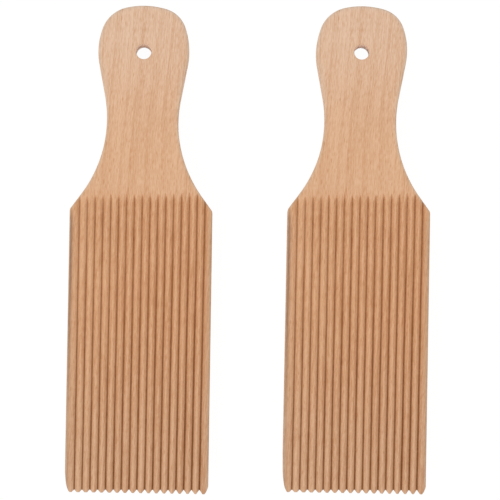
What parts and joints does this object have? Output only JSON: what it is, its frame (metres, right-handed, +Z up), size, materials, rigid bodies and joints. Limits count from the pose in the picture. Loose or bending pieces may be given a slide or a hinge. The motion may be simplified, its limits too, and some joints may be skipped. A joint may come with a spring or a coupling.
{
  "type": "gnocchi board pair",
  "caption": "Flat wooden paddles with lengthwise V grooves between narrow ribs on the blade, for rolling ridges into gnocchi, each with a waisted handle and a hanging hole.",
  "frame": {"origin": "under the middle of the pair's bounding box, on the surface the boards lie on", "axes": "+Y along the boards from the ribbed ends to the heads, +Z up out of the ribbed faces, +X across from the left board to the right board"},
  "size_m": [0.1514, 0.2064, 0.01],
  "materials": {
    "beech": "satin"
  },
  "bodies": {
    "left_board": {"left_board": "beech"},
    "right_board": {"right_board": "beech"}
  },
  "joints": [
    {"name": "right_board_lift", "type": "slide", "parent": "left_board", "child": "right_board", "axis": [0, 0, 1], "range_m": [0, 0.06]}
  ]
}
